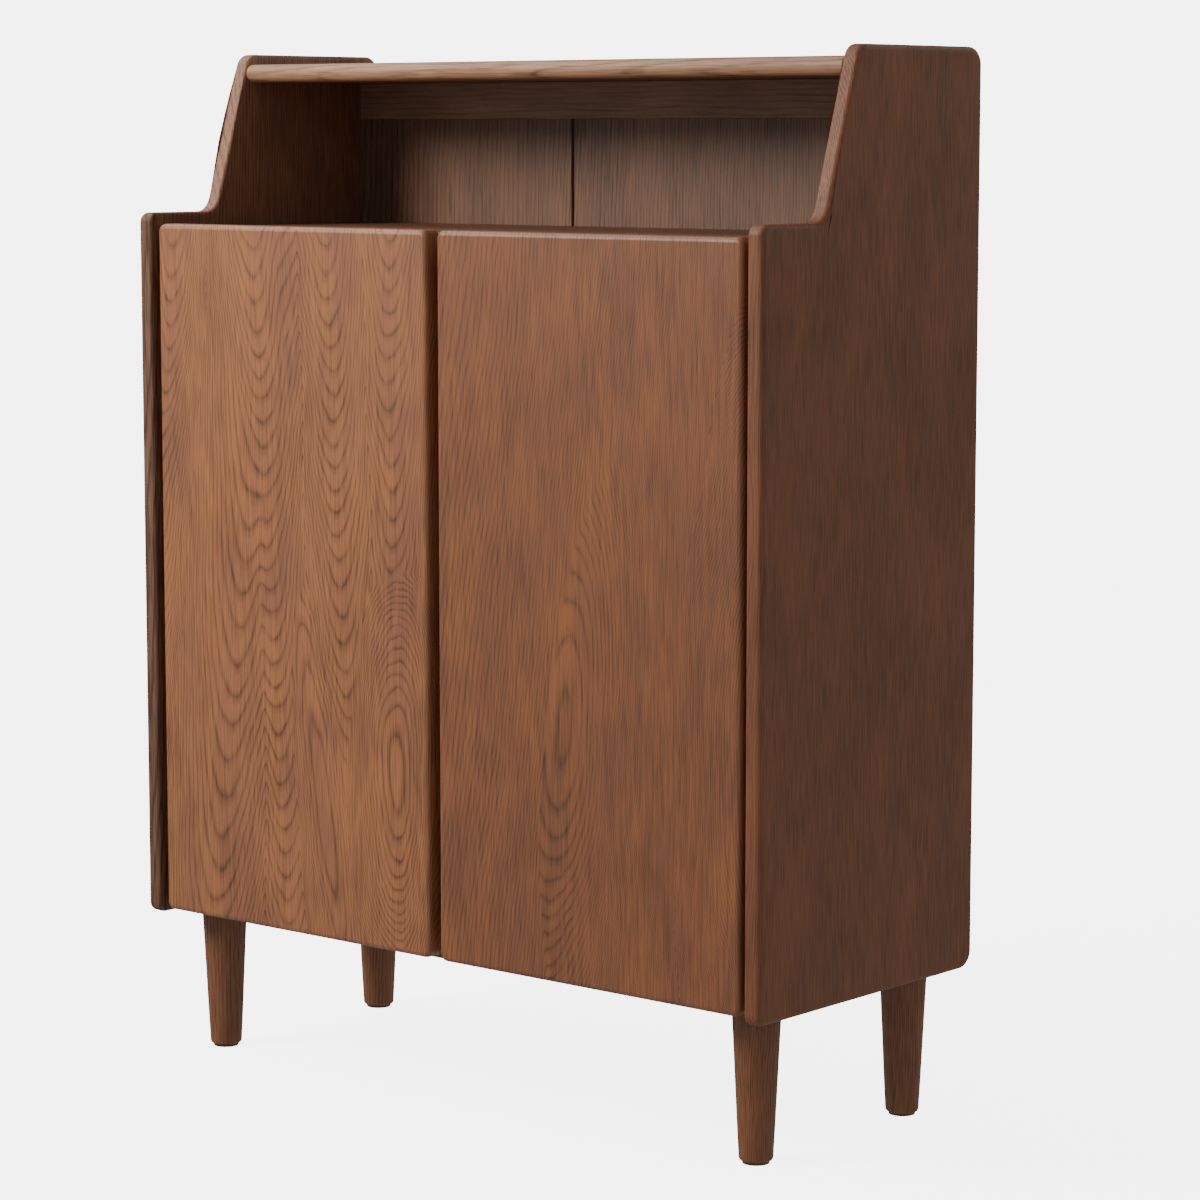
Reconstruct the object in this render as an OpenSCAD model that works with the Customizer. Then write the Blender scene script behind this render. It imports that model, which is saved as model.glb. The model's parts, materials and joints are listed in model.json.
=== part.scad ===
// Shoe cabinet on four round legs: two hinged doors below a counter, an open shelf space above it.
// X runs along the width, the front faces -Y, Z is up, and the origin is on the floor under the centre.

/* [Cabinet] */
// Width over the side panels
cabinet_w = 800; // [600:10:1200]
// Depth over the side panels
cabinet_d = 335; // [300:5:450]
// Height of the legs, foot pads included
leg_h = 145; // [80:5:200]
// Height of the side panels from their lower edge to the step
cupboard_h = 719; // [560:1:900]
// Height of the side panels above the step
gallery_h = 160; // [120:5:260]

/* [Side panel outline] */
// Depth of the step at counter height
step_d = 92; // [60:1:120]
// Distance from the front plane to the upper front corner
top_setback = 142; // [125:1:180]
// Radius of the hollow between the step and the slanted edge
step_fillet_r = 20; // [5:1:30]
// Radius of the upper front corner
top_front_r = 15; // [3:1:30]
// Radius of the front corners below the step
front_r = 10; // [3:1:25]
// Radius of the rear corners
rear_r = 17; // [3:1:30]

/* [Boards] */
// Thickness of the side panels
side_t = 18; // [16:1:25]
// Thickness of the bottom, counter and top boards
board_t = 18; // [16:1:25]
// Thickness of the centre partition
partition_t = 18; // [18:1:25]
// Thickness of the shelves
shelf_t = 15; // [12:1:19]
// Thickness of the back boards
back_t = 9; // [6:1:10]
// Distance from the rear edges of the side panels to the back boards
back_inset = 17; // [14:1:30]
// Distance from the left outer face to the joint of the back boards
back_joint_x = 315; // [240:5:360]
// Width of the joint between the back boards
back_joint_w = 5; // [3:1:8]
// Height of the rail under the top board
rail_h = 37.5; // [30:0.5:60]
// Thickness of the rail
rail_t = 18; // [16:1:25]
// Distance that the rail stands in front of the back boards
rail_proud = 3; // [1:1:4]
// Distance from the top of the side panels down to the top board
top_board_drop = 10.5; // [5:0.5:20]
// Distance that the top board's front lies behind the slanted edge
top_board_inset = 1.5; // [0.5:0.5:5]
// Distance from the top of the doors down to the counter surface
counter_drop = 3.5; // [2:0.5:5]
// Distance that the partition's front lies behind the door backs
partition_setback = 22; // [10:1:30]
// Distance that the shelf fronts lie behind the door backs
shelf_setback = 30; // [28:1:50]

/* [Doors] */
// Thickness of the doors
door_t = 20; // [18:1:22]
// Distance that the doors lie behind the front edges of the side panels
door_recess = 3; // [1:1:6]
// Gap between a door and its side panel
door_side_gap = 7; // [6:0.5:9]
// Finger gap between the two doors
door_centre_gap = 13; // [8:1:30]
// Distance from the lower edge of the side panels up to the doors
door_rise = 5; // [3:1:8]
// Distance from the step down to the doors
door_drop = 11; // [5:1:20]
// Radius of the door corners seen from the front
door_corner_r = 8; // [2:1:15]
// Gap between the corner of a swinging door and the boards behind it
swing_gap = 0.9; // [0.5:0.1:3]
// Height of each hinge from the nearest end of its door
hinge_inset = 100; // [70:5:140]
// Diameter of the hinge cups
cup_d = 35; // [35:1:36]
// Diameter of the hinge pins
hinge_pin_d = 3; // [2.5:0.1:3]

/* [Legs] */
// Diameter of a leg at the top
leg_top_d = 46; // [40:1:60]
// Diameter of a leg at the foot
leg_foot_d = 32.5; // [30:0.5:45]
// Distance from the outer faces to the leg axes
leg_side_inset = 50; // [48:1:90]
// Distance from the front plane to the front leg axes
leg_front_inset = 61; // [55:1:90]
// Distance from the rear edges to the rear leg axes
leg_rear_inset = 44; // [44:1:80]
// Diameter of the leg bolts
leg_bolt_d = 8; // [6:1:10]

/* [Hidden] */
$fn = 96;
pin_fit = 0.05;        // radial clearance of a running pin
bolt_fit = 0.1;        // radial clearance of bolts, inserts, cams and dowels
groove_fit = 0.2;      // clearance on each face of a board in its groove
through_fit = 0.4;     // radial clearance of a screw that passes through a piece
shelf_fit = 1;         // clearance at each end of a shelf
shelf_play = 4;        // clearance behind a shelf
close_gap = 0.3;       // gap of a closed door's bumper or strike plate to what it closes on
bore_rest = 0.5;       // depth of a blind bore past the end of what sits in it
past = 1;              // how far a cut passes the face that it opens

// Heights
step_z = leg_h + cupboard_h;
top_z = step_z + gallery_h;
bottom_top = leg_h + board_t;
door_low = leg_h + door_rise;
door_high = step_z - door_drop;
counter_top = door_high - counter_drop;
counter_low = counter_top - board_t;
roof_top = top_z - top_board_drop;
roof_low = roof_top - board_t;
rail_low = roof_low - rail_h;

// Widths, measured from the centre
half_w = cabinet_w / 2;
inner = half_w - side_t;
joint_x = back_joint_x - half_w;

// Pin axis of the left door's hinges. It lies far enough in for the door's front corner to swing past
// the side panel, and board_front is far enough back for its rear corner to swing past the boards.
door_face = 8;                          // from the pin axis back to the door's rear face
axis_front = door_t - door_face;        // from the pin axis forward to the door's front face
least_axis_edge = 11;                   // from the door's edge to the pin axis, for the hinge cup
swing_room = door_side_gap - 0.5;       // what the door's front corner may use of the side gap
swing_edge = (axis_front * axis_front - swing_room * swing_room) / (2 * swing_room);
axis_edge = ceil(10 * max(least_axis_edge, swing_edge)) / 10;
axis_x = -inner + door_side_gap + axis_edge;
axis_y = door_recess + axis_front;

// Depths, measured from the front plane
back_play = 0.5;                        // play of a back board behind the boards and in its grooves' ends
door_back = door_recess + door_t;
board_front = axis_y + norm([axis_edge, door_face]) + swing_gap;
back_front = cabinet_d - back_inset - back_t;
back_rear = back_front + back_t;
inner_rear = back_front - back_play;
rail_front = back_front - rail_proud;
frame_rear = rail_front + rail_t;
partition_front = door_back + partition_setback;
shelf_front = door_back + shelf_setback;
shelf_rear = inner_rear - shelf_play;
slant = (top_setback - step_d) / gallery_h;
roof_front = step_d + slant * (roof_top - board_t / 2 - step_z) + top_board_inset;

// Grooves for the back boards
groove_d = 6;
side_groove_d = 5.5;
rail_groove_d = 10;

// Strip that covers the joint of the back boards from behind
strip_web = back_joint_w / 2 - 0.1;
strip_half_w = 20;
strip_t = 8;
strip_set_back = 3;

// Shelves
shelf_levels = [1, 2, 3];
shelf_step = (counter_low - bottom_top - 3 * shelf_t) / 4;
hole_steps = [-32, 0, 32];
peg_d = 5;
peg_l = 8;
peg_drop = 5;
peg_rest = 0.3;
tab_l = 11;
tab_t = 2;
tab_w = 8;
tab_plate_t = 0.8;
pin_ys = [shelf_front + 40, shelf_rear - 35];

// Hinges, in a plan whose origin is the pin axis, +X into the cabinet and +Y to the rear
cup_x = 11.5;
cup_h = 11.8;
cup_bore_h = 12;
hinge_pin_l = 22;
flange_t = 1.2;
flange_off = 5;
flange_w = 24;
flange_l = 62;
cup_screw_z = 24;
cup_screw_l = 12;
pocket = [-3.4, 21.5, -3.2];                      // left, right and floor of the cup's pocket
pocket_h = 17.2;
arm_w = 15;
arm_t = 2.4;
knuckle_r = 2.8;
arm_reach = 17;                                   // pin axis to the middle of the upright limb
arm_back = door_face + 17;                        // pin axis to the middle of the cross limb
plate_t = 3;
plate_x = -(door_side_gap + axis_edge);           // inner face of the side panel
plate_l = 46;
plate_h = 44;
arm_l = 40;
arm_screw_y = arm_back + 27;
plate_screw_y = arm_back + 11;
plate_screw_z = 15;
plate_lip = 2;
plate_screw_d = 4;
plate_screw_l = 11;
arm_screw_d = 4;
hinge_zs = [door_low + hinge_inset, door_high - hinge_inset];

// Door catches, bumpers and strike plates, measured from the centre
catch_x = 25;
catch_w = 40;
catch_d = 22;
catch_h = 14;
strike_t = 1.2;
strike_h = 12;
strike_over = 8;
strike_z = counter_low - catch_h / 2;
catch_screw_in = 5;
catch_screw_y = door_back + 13;
catch_screw_l = 10;
strike_screw_in = 4;
strike_screw_l = 11;
small_head = [6, 1];
bumper_d = 8;
bumper_inset = 15;
bumper_zs = [door_low + (bottom_top - door_low) / 2, counter_low + board_t / 2];

// Joints between the boards
cam_d = 15;
cam_h = 12.5;
cam_in = 24;
cam_bolt_d = 6;
cam_bolt_in = 11;
dowel_d = 8;
dowel_l = 28;
dowel_in = 12;
dowel_after = 35;
front_cam_inset = 35;
bottom_cam_inset = 70;
rail_dowel_d = 6;
rail_dowel_l = 24;
rail_dowel_spots = [-0.25, 0.02, 0.25];
partition_dowel_inset = 45;

// Legs
pad_t = 2.5;
pad_d = 26;
foot_bevel = 3;
insert_d = 12;
insert_l = board_t - 3;
leg_bolt_in = 30;
leg_ys = [leg_front_inset, cabinet_d - leg_rear_inset];

// Screws: shank and head diameters
screw_d = 3;
screw_head = [7, 2];
back_screw_l = 25;
back_screw_spots = [-0.42, -0.25, 0.12, 0.27, 0.42];    // along the counter, as shares of its length
partition_screw_spots = [0.2, 0.5, 0.8];                // up the partition, as shares of its height

oak = "#7a4a2c";
dark_oak = "#4a2c1b";
steel = "silver";
nickel = "#b9b9b4";

// A block between two corners, with depths measured from the front plane
module block(x0, x1, y0, y1, z0, z1) {
    translate([x0, y0 - cabinet_d / 2, z0]) cube([x1 - x0, y1 - y0, z1 - z0]);
}

// A round bar of length l from a point, along X, Y or Z
module bar_x(d, l, x, y, z) {
    translate([x, y - cabinet_d / 2, z]) rotate([0, 90, 0]) cylinder(d = d, h = l);
}
module bar_y(d, l, x, y, z) {
    translate([x, y - cabinet_d / 2, z]) rotate([-90, 0, 0]) cylinder(d = d, h = l);
}
module bar_z(d, l, x, y, z) {
    translate([x, y - cabinet_d / 2, z]) cylinder(d = d, h = l);
}

// What is drawn for the left side, on the left (-1) or the right (1)
module on_side(side) {
    if (side < 0) children();
    else mirror([1, 0, 0]) children();
}

// An outline of depth and height, extruded along X from x0 to x1
module along_x(x0, x1) {
    translate([x0, -cabinet_d / 2, 0]) rotate([90, 0, 90]) linear_extrude(x1 - x0) children();
}

// The space between a corner p and a round of radius r that touches both of its edges, a and b
module spandrel(p, a, b, r) {
    half = acos(a * b) / 2;
    middle = (a + b) / norm(a + b);
    difference() {
        polygon([p - middle, p + a * r / tan(half), p + b * r / tan(half)]);
        translate(p + middle * r / sin(half)) circle(r);
    }
}

module rounded_rectangle(w, h, r) {
    translate([r, 0]) square([w - 2 * r, h]);
    translate([0, r]) square([w, h - 2 * r]);
    for (x = [r, w - r], y = [r, h - r]) translate([x, y]) circle(r);
}

// Boards

// Lower face, cam depths and dowel depths of a board between the side panels
function cam_board(low, front, rear, inset) =
    [low, [front + inset, rear - inset], [front + inset + dowel_after, rear - inset - dowel_after]];

cam_boards = [
    cam_board(leg_h, board_front, frame_rear, bottom_cam_inset),
    cam_board(counter_low, board_front, inner_rear, front_cam_inset),
    cam_board(roof_low, roof_front, frame_rear, front_cam_inset),
];

module end_dowel(fit, y, z) {
    bar_x(dowel_d + 2 * fit, dowel_l + 4 * fit, -inner - dowel_in - 2 * fit, y, z);
}

module board_dowels(board, fit) {
    for (y = board[2]) end_dowel(fit, y, board[0] + board_t / 2);
}

module rail_end_dowel(fit) {
    end_dowel(fit, rail_front + rail_t / 2, rail_low + rail_h / 2);
}

module roof_dowels(fit) {
    for (x = rail_dowel_spots * inner * 2)
        bar_z(rail_dowel_d + 2 * fit, rail_dowel_l + 4 * fit,
            x, rail_front + rail_t / 2, roof_low - rail_dowel_l / 2 - 2 * fit);
}

module partition_dowels(fit) {
    ys = [partition_front + partition_dowel_inset, inner_rear - partition_dowel_inset];
    for (y = ys, z = [bottom_top - dowel_in, counter_low + dowel_in - dowel_l])
        bar_z(dowel_d + 2 * fit, dowel_l + 4 * fit, 0, y, z - 2 * fit);
}

module board_cams(board, d, h) {
    for (y = board[1]) bar_z(d, h, -inner + cam_in, y, board[0]);
}

module board_cam_bolts(board, fit) {
    length = cam_bolt_in + cam_in - past + fit;
    for (y = board[1])
        bar_x(cam_bolt_d + 2 * fit, length, -inner - cam_bolt_in - fit, y, board[0] + board_t / 2);
}

// Everything that is bored into a board for its joints, on both sides
module board_bores(board) {
    for (side = [-1, 1]) on_side(side) {
        board_dowels(board, bolt_fit);
        board_cams(board, cam_d + 2 * bolt_fit, cam_h + bore_rest);
        board_cam_bolts(board, through_fit);
    }
}

module back_groove(x0, x1, z0, z1) {
    block(x0, x1, back_front - groove_fit, back_rear + groove_fit, z0, z1);
}

module peg_holes() {
    for (level = shelf_levels, y = pin_ys, step = hole_steps)
        bar_x(peg_d + 2 * bolt_fit, peg_l + peg_rest + past,
            -inner - peg_l - peg_rest, y, peg_z(level) + step);
}

function shelf_z(level) = bottom_top + level * shelf_step + (level - 1) * shelf_t;
function peg_z(level) = shelf_z(level) - peg_drop;

module side_outline() {
    up = [slant, 1] / norm([slant, 1]);
    front_top = [0, step_z];
    hollow = [step_d, step_z];
    tip = [top_setback, top_z];
    difference() {
        union() {
            polygon([[0, leg_h], front_top, hollow, tip, [cabinet_d, top_z], [cabinet_d, leg_h]]);
            spandrel(hollow, [-1, 0], up, step_fillet_r);
        }
        spandrel([0, leg_h], [1, 0], [0, 1], front_r);
        spandrel(front_top, [1, 0], [0, -1], front_r);
        spandrel(tip, -up, [1, 0], top_front_r);
        spandrel([cabinet_d, top_z], [-1, 0], [0, -1], rear_r);
        spandrel([cabinet_d, leg_h], [-1, 0], [0, 1], rear_r);
    }
}

module side_panel(side) {
    color(dark_oak) on_side(side) difference() {
        along_x(-half_w, -inner) side_outline();
        back_groove(-inner - side_groove_d, 0, bottom_top - groove_d, rail_low + rail_groove_d);
        for (board = cam_boards) {
            board_dowels(board, bolt_fit);
            board_cam_bolts(board, bolt_fit);
        }
        rail_end_dowel(bolt_fit);
        peg_holes();
        at_hinges() plate_screws(plate_screw_d + 2 * bolt_fit);
    }
}

module bottom_board() {
    color(dark_oak) difference() {
        block(-inner, inner, board_front, frame_rear, leg_h, bottom_top);
        back_groove(-inner - past, inner + past, bottom_top - groove_d, bottom_top + past);
        board_bores(cam_boards[0]);
        at_legs() cylinder(d = insert_d + 2 * bolt_fit, h = insert_l + bore_rest);
        partition_dowels(bolt_fit);
    }
}

module counter_board() {
    color(oak) difference() {
        block(-inner, inner, board_front, inner_rear, counter_low, counter_top);
        board_bores(cam_boards[1]);
        partition_dowels(bolt_fit);
        back_screw_shanks(screw_d + 2 * bolt_fit);
        for (side = [-1, 1]) on_side(side) catch_screw_shanks(screw_d + 2 * bolt_fit);
    }
}

module top_board() {
    nose = board_t / 2;
    color(oak) difference() {
        along_x(-inner, inner) {
            translate([roof_front + nose, roof_low]) square([frame_rear - roof_front - nose, board_t]);
            translate([roof_front + nose, roof_low + nose]) circle(nose);
        }
        board_bores(cam_boards[2]);
        roof_dowels(bolt_fit);
    }
}

module centre_partition() {
    color(dark_oak) difference() {
        block(-partition_t / 2, partition_t / 2, partition_front, inner_rear, bottom_top, counter_low);
        partition_dowels(bolt_fit);
        back_screw_shanks(screw_d + 2 * bolt_fit);
        for (side = [-1, 1]) on_side(side) translate([inner - partition_t / 2, 0, 0]) mirror([1, 0, 0])
            translate([2 * inner, 0, 0]) peg_holes();
    }
}

module back_rail() {
    color(dark_oak) difference() {
        block(-inner, inner, rail_front, frame_rear, rail_low, roof_low);
        back_groove(-inner - past, inner + past, rail_low - past, rail_low + rail_groove_d);
        for (side = [-1, 1]) on_side(side) rail_end_dowel(bolt_fit);
        roof_dowels(bolt_fit);
    }
}

module back_board(x0, x1) {
    color(dark_oak) difference() {
        block(x0, x1, back_front, back_rear, bottom_top - groove_d, rail_low + rail_groove_d - back_play);
        back_screw_shanks(screw_d + 2 * through_fit);
    }
}

module back_panel_left() {
    back_board(-inner - side_groove_d + back_play, joint_x - back_joint_w / 2);
}

module back_panel_right() {
    back_board(joint_x + back_joint_w / 2, inner + side_groove_d - back_play);
}

module back_joint_strip() {
    color(dark_oak) union() {
        block(joint_x - strip_web, joint_x + strip_web,
            back_front + strip_set_back, back_rear + strip_t / 2, bottom_top, rail_low);
        block(joint_x - strip_half_w, joint_x + strip_half_w,
            back_rear, back_rear + strip_t, bottom_top, rail_low);
    }
}

module shelf(side, level) {
    color(oak) on_side(side)
        block(-inner + shelf_fit, -partition_t / 2 - shelf_fit, shelf_front, shelf_rear,
            shelf_z(level), shelf_z(level) + shelf_t);
}

// A shelf pin: a round peg in the board, a back plate and the tab that carries the shelf
module shelf_pin(y, z) {
    half = tab_w / 2;
    bar_x(peg_d, peg_l + tab_plate_t / 2, -inner - peg_l, y, z);
    block(-inner, -inner + tab_plate_t, y - half, y + half, z - half, z + peg_drop);
    block(-inner, -inner + tab_l, y - half, y + half, z + peg_drop - tab_t, z + peg_drop);
}

module shelf_pins() {
    color(nickel) for (side = [-1, 1], level = shelf_levels, y = pin_ys) on_side(side) {
        shelf_pin(y, peg_z(level));
        translate([-partition_t / 2 - inner, 0, 0]) mirror([1, 0, 0]) shelf_pin(y, peg_z(level));
    }
}

// Legs

module at_legs() {
    for (x = [-1, 1] * (half_w - leg_side_inset), y = leg_ys)
        translate([x, y - cabinet_d / 2, leg_h]) children();
}

module leg(side, row) {
    foot = leg_foot_d / 2;
    bore_h = leg_bolt_in + bore_rest;
    color(oak) translate([side * (half_w - leg_side_inset), leg_ys[row] - cabinet_d / 2, 0]) difference() {
        rotate_extrude() polygon([[0, pad_t], [foot - foot_bevel, pad_t], [foot, pad_t + foot_bevel],
            [leg_top_d / 2, leg_h], [0, leg_h]]);
        translate([0, 0, leg_h - bore_h]) cylinder(d = leg_bolt_d + 2 * bolt_fit, h = bore_h + past);
    }
}

module leg_bolts() {
    color(steel) at_legs() translate([0, 0, -leg_bolt_in])
        cylinder(d = leg_bolt_d, h = leg_bolt_in + insert_l - bore_rest);
}

module leg_inserts() {
    color(steel) at_legs() difference() {
        cylinder(d = insert_d, h = insert_l);
        translate([0, 0, -past]) cylinder(d = leg_bolt_d + 2 * bolt_fit, h = insert_l + 2 * past);
    }
}

module foot_pads() {
    color("#2b2826") at_legs() translate([0, 0, -leg_h]) cylinder(d = pad_d, h = pad_t);
}

// Doors

module door(side) {
    w = inner - door_side_gap - door_centre_gap / 2;
    color(oak) on_side(side) difference() {
        translate([-inner + door_side_gap, door_back - cabinet_d / 2, door_low]) rotate([90, 0, 0])
            linear_extrude(door_t) rounded_rectangle(w, door_high - door_low, door_corner_r);
        at_hinges() {
            cup_body(cup_d + 2 * bolt_fit, cup_bore_h);
            cup_screw_shanks(screw_d + 2 * bolt_fit);
        }
        strike_screw_shanks(screw_d + 2 * bolt_fit);
    }
}

// Hinges: every module below is drawn round the pin axis of the left door

module at_hinge(level) {
    translate([axis_x, axis_y - cabinet_d / 2, hinge_zs[level]]) children();
}

module at_hinges() {
    for (level = [0, 1]) at_hinge(level) children();
}

module plan_block(x0, x1, y0, y1, h) {
    translate([x0, y0, -h / 2]) cube([x1 - x0, y1 - y0, h]);
}

module cup_body(d, h) {
    translate([cup_x, door_face - h, 0]) rotate([-90, 0, 0]) cylinder(d = d, h = h);
}

module cup_screw_shanks(d) {
    for (z = [-1, 1] * cup_screw_z) translate([cup_x + flange_off, door_face - cup_screw_l, z])
        rotate([-90, 0, 0]) cylinder(d = d, h = cup_screw_l + flange_t);
}

module hinge_cup(side, level) {
    color(nickel) on_side(side) at_hinge(level) difference() {
        union() {
            cup_body(cup_d, cup_h);
            translate([0, flange_t, 0]) cup_body(cup_d + 4, flange_t);
            plan_block(cup_x + flange_off - flange_w / 2, cup_x + flange_off + flange_w / 2,
                door_face, door_face + flange_t, flange_l);
        }
        plan_block(pocket[0], pocket[1], pocket[2], door_face + flange_t + past, pocket_h);
        translate([0, 0, -hinge_pin_l / 2 - pin_fit])
            cylinder(d = hinge_pin_d + pin_fit, h = hinge_pin_l + 2 * pin_fit);
        cup_screw_shanks(screw_d + 2 * through_fit);
    }
}

module hinge_pins(side) {
    color(steel) on_side(side) at_hinges() translate([0, 0, -hinge_pin_l / 2])
        cylinder(d = hinge_pin_d, h = hinge_pin_l);
}

module hinge_cup_screws(side) {
    color(steel) on_side(side) at_hinges() {
        cup_screw_shanks(screw_d);
        for (z = [-1, 1] * cup_screw_z) translate([cup_x + flange_off, door_face + flange_t, z])
            rotate([-90, 0, 0]) cylinder(d = screw_head[0], h = screw_head[1]);
    }
}

module hinge_arm(side, level) {
    half = arm_t / 2;
    base_x = plate_x + plate_t;
    color(nickel) on_side(side) at_hinge(level) difference() {
        union() {
            translate([0, 0, -arm_w / 2]) cylinder(r = knuckle_r, h = arm_w);
            plan_block(0, arm_reach + half, -half, half, arm_w);
            plan_block(arm_reach - half, arm_reach + half, -half, arm_back + half, arm_w);
            plan_block(base_x, arm_reach + half, arm_back - half, arm_back + half, arm_w);
            plan_block(base_x, base_x + arm_t, arm_back - half, arm_back + arm_l, arm_w);
        }
        translate([0, 0, -arm_w]) cylinder(d = hinge_pin_d + 2 * pin_fit, h = 2 * arm_w);
        arm_screw_shank(arm_screw_d + 2 * through_fit, past);
    }
}

module arm_screw_shank(d, over) {
    translate([plate_x + bore_rest, arm_screw_y, 0]) rotate([0, 90, 0])
        cylinder(d = d, h = plate_t + arm_t - bore_rest + over);
}

module plate_screws(d) {
    for (z = [-1, 1] * plate_screw_z) translate([plate_x - plate_screw_l, plate_screw_y, z])
        rotate([0, 90, 0]) cylinder(d = d, h = plate_screw_l + plate_t);
}

module hinge_plate(side, level) {
    color(nickel) on_side(side) at_hinge(level) difference() {
        plan_block(plate_x, plate_x + plate_t, arm_back - plate_lip, arm_back - plate_lip + plate_l, plate_h);
        plate_screws(plate_screw_d + 2 * through_fit);
        arm_screw_shank(arm_screw_d + 2 * bolt_fit, past);
    }
}

module hinge_plate_screws() {
    color(steel) for (side = [-1, 1]) on_side(side) at_hinges() {
        plate_screws(plate_screw_d);
        for (z = [-1, 1] * plate_screw_z) translate([plate_x + plate_t, plate_screw_y, z])
            rotate([0, 90, 0]) cylinder(d = 2 * plate_screw_d, h = screw_head[1]);
    }
}

module hinge_arm_screws() {
    color(steel) for (side = [-1, 1]) on_side(side) at_hinges() {
        arm_screw_shank(arm_screw_d, 0);
        translate([plate_x + plate_t + arm_t, arm_screw_y, 0]) rotate([0, 90, 0])
            cylinder(d = screw_head[0], h = screw_head[1]);
    }
}

// Catches and bumpers

function catch_screw_xs() = [catch_x + catch_screw_in, catch_x + catch_w - catch_screw_in];
function strike_screw_xs() =
    [catch_x - strike_over + strike_screw_in, catch_x + catch_w + strike_over - strike_screw_in];

module catch_screw_shanks(d) {
    for (x = catch_screw_xs())
        bar_z(d, catch_h + catch_screw_l, -x, catch_screw_y, counter_low - catch_h);
}

module strike_screw_shanks(d) {
    for (x = strike_screw_xs())
        bar_y(d, strike_screw_l + strike_t, -x, door_back - strike_screw_l, strike_z);
}

module door_catch(side) {
    front = door_back + strike_t + close_gap;
    color("#26211e") on_side(side) difference() {
        block(-catch_x - catch_w, -catch_x, front, front + catch_d, counter_low - catch_h, counter_low);
        catch_screw_shanks(screw_d + 2 * through_fit);
    }
}

module strike_plate(side) {
    color(steel) on_side(side) difference() {
        block(-catch_x - catch_w - strike_over, -catch_x + strike_over, door_back, door_back + strike_t,
            strike_z - strike_h / 2, strike_z + strike_h / 2);
        strike_screw_shanks(screw_d + 2 * through_fit);
    }
}

module catch_screws() {
    color(steel) for (side = [-1, 1]) on_side(side) {
        catch_screw_shanks(screw_d);
        for (x = catch_screw_xs())
            bar_z(small_head[0], screw_head[1], -x, catch_screw_y, counter_low - catch_h - screw_head[1]);
    }
}

module strike_screws(side) {
    color(steel) on_side(side) {
        strike_screw_shanks(screw_d);
        for (x = strike_screw_xs()) bar_y(small_head[0], small_head[1], -x, door_back + strike_t, strike_z);
    }
}

module door_bumpers(side) {
    length = board_front - door_back - close_gap;
    color("#33302d") on_side(side) for (z = bumper_zs)
        bar_y(bumper_d, length, -door_centre_gap / 2 - bumper_inset, door_back, z);
}

// Fasteners in the carcass

module cam_locks() {
    slot = [9, 1.6, 3];
    color(steel) for (side = [-1, 1]) on_side(side) for (board = cam_boards) difference() {
        board_cams(board, cam_d, cam_h);
        board_cam_bolts(board, through_fit);
        for (y = board[1]) translate([-inner + cam_in, y - cabinet_d / 2, board[0]]) {
            cube(slot, center = true);
            cube([slot[1], slot[0], slot[2]], center = true);
        }
    }
}

module cam_bolts() {
    color(steel) for (side = [-1, 1]) on_side(side) for (board = cam_boards) board_cam_bolts(board, 0);
}

module dowels() {
    color("#c9a877") {
        for (side = [-1, 1]) on_side(side) {
            for (board = cam_boards) board_dowels(board, 0);
            rail_end_dowel(0);
        }
        roof_dowels(0);
        partition_dowels(0);
    }
}

// Places of the screws behind the back boards: width and height
function back_screw_places() = concat(
    [for (spot = back_screw_spots) [spot * 2 * inner, counter_low + board_t / 2]],
    [for (spot = partition_screw_spots) [0, bottom_top + spot * (counter_low - bottom_top)]]);

module back_screw_shanks(d) {
    for (place = back_screw_places())
        bar_y(d, back_screw_l, place[0], back_rear - back_screw_l, place[1]);
}

module back_screws() {
    color(steel) {
        back_screw_shanks(screw_d);
        for (place = back_screw_places())
            bar_y(screw_head[0], screw_head[1], place[0], back_rear, place[1]);
    }
}

side_panel(-1);  // side_panel_left
side_panel(1);  // side_panel_right
bottom_board();
counter_board();
top_board();
centre_partition();
back_rail();
back_panel_left();
back_panel_right();
back_joint_strip();
shelf(-1, 1);  // shelf_left_lower
shelf(-1, 2);  // shelf_left_middle
shelf(-1, 3);  // shelf_left_upper
shelf(1, 1);  // shelf_right_lower
shelf(1, 2);  // shelf_right_middle
shelf(1, 3);  // shelf_right_upper
shelf_pins();
leg(-1, 0);  // leg_front_left
leg(1, 0);  // leg_front_right
leg(-1, 1);  // leg_rear_left
leg(1, 1);  // leg_rear_right
leg_bolts();
leg_inserts();
foot_pads();
door(-1);  // door_left
door(1);  // door_right
hinge_cup(-1, 0);  // hinge_cup_left_lower
hinge_cup(-1, 1);  // hinge_cup_left_upper
hinge_cup(1, 0);  // hinge_cup_right_lower
hinge_cup(1, 1);  // hinge_cup_right_upper
hinge_arm(-1, 0);  // hinge_arm_left_lower
hinge_arm(-1, 1);  // hinge_arm_left_upper
hinge_arm(1, 0);  // hinge_arm_right_lower
hinge_arm(1, 1);  // hinge_arm_right_upper
hinge_plate(-1, 0);  // hinge_plate_left_lower
hinge_plate(-1, 1);  // hinge_plate_left_upper
hinge_plate(1, 0);  // hinge_plate_right_lower
hinge_plate(1, 1);  // hinge_plate_right_upper
hinge_pins(-1);  // hinge_pins_left
hinge_pins(1);  // hinge_pins_right
hinge_cup_screws(-1);  // hinge_cup_screws_left
hinge_cup_screws(1);  // hinge_cup_screws_right
hinge_plate_screws();
hinge_arm_screws();
door_catch(-1);  // door_catch_left
door_catch(1);  // door_catch_right
strike_plate(-1);  // strike_plate_left
strike_plate(1);  // strike_plate_right
catch_screws();
strike_screws(-1);  // strike_screws_left
strike_screws(1);  // strike_screws_right
door_bumpers(-1);  // door_bumpers_left
door_bumpers(1);  // door_bumpers_right
cam_locks();
cam_bolts();
dowels();
back_screws();
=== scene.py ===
import json
import math

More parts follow.
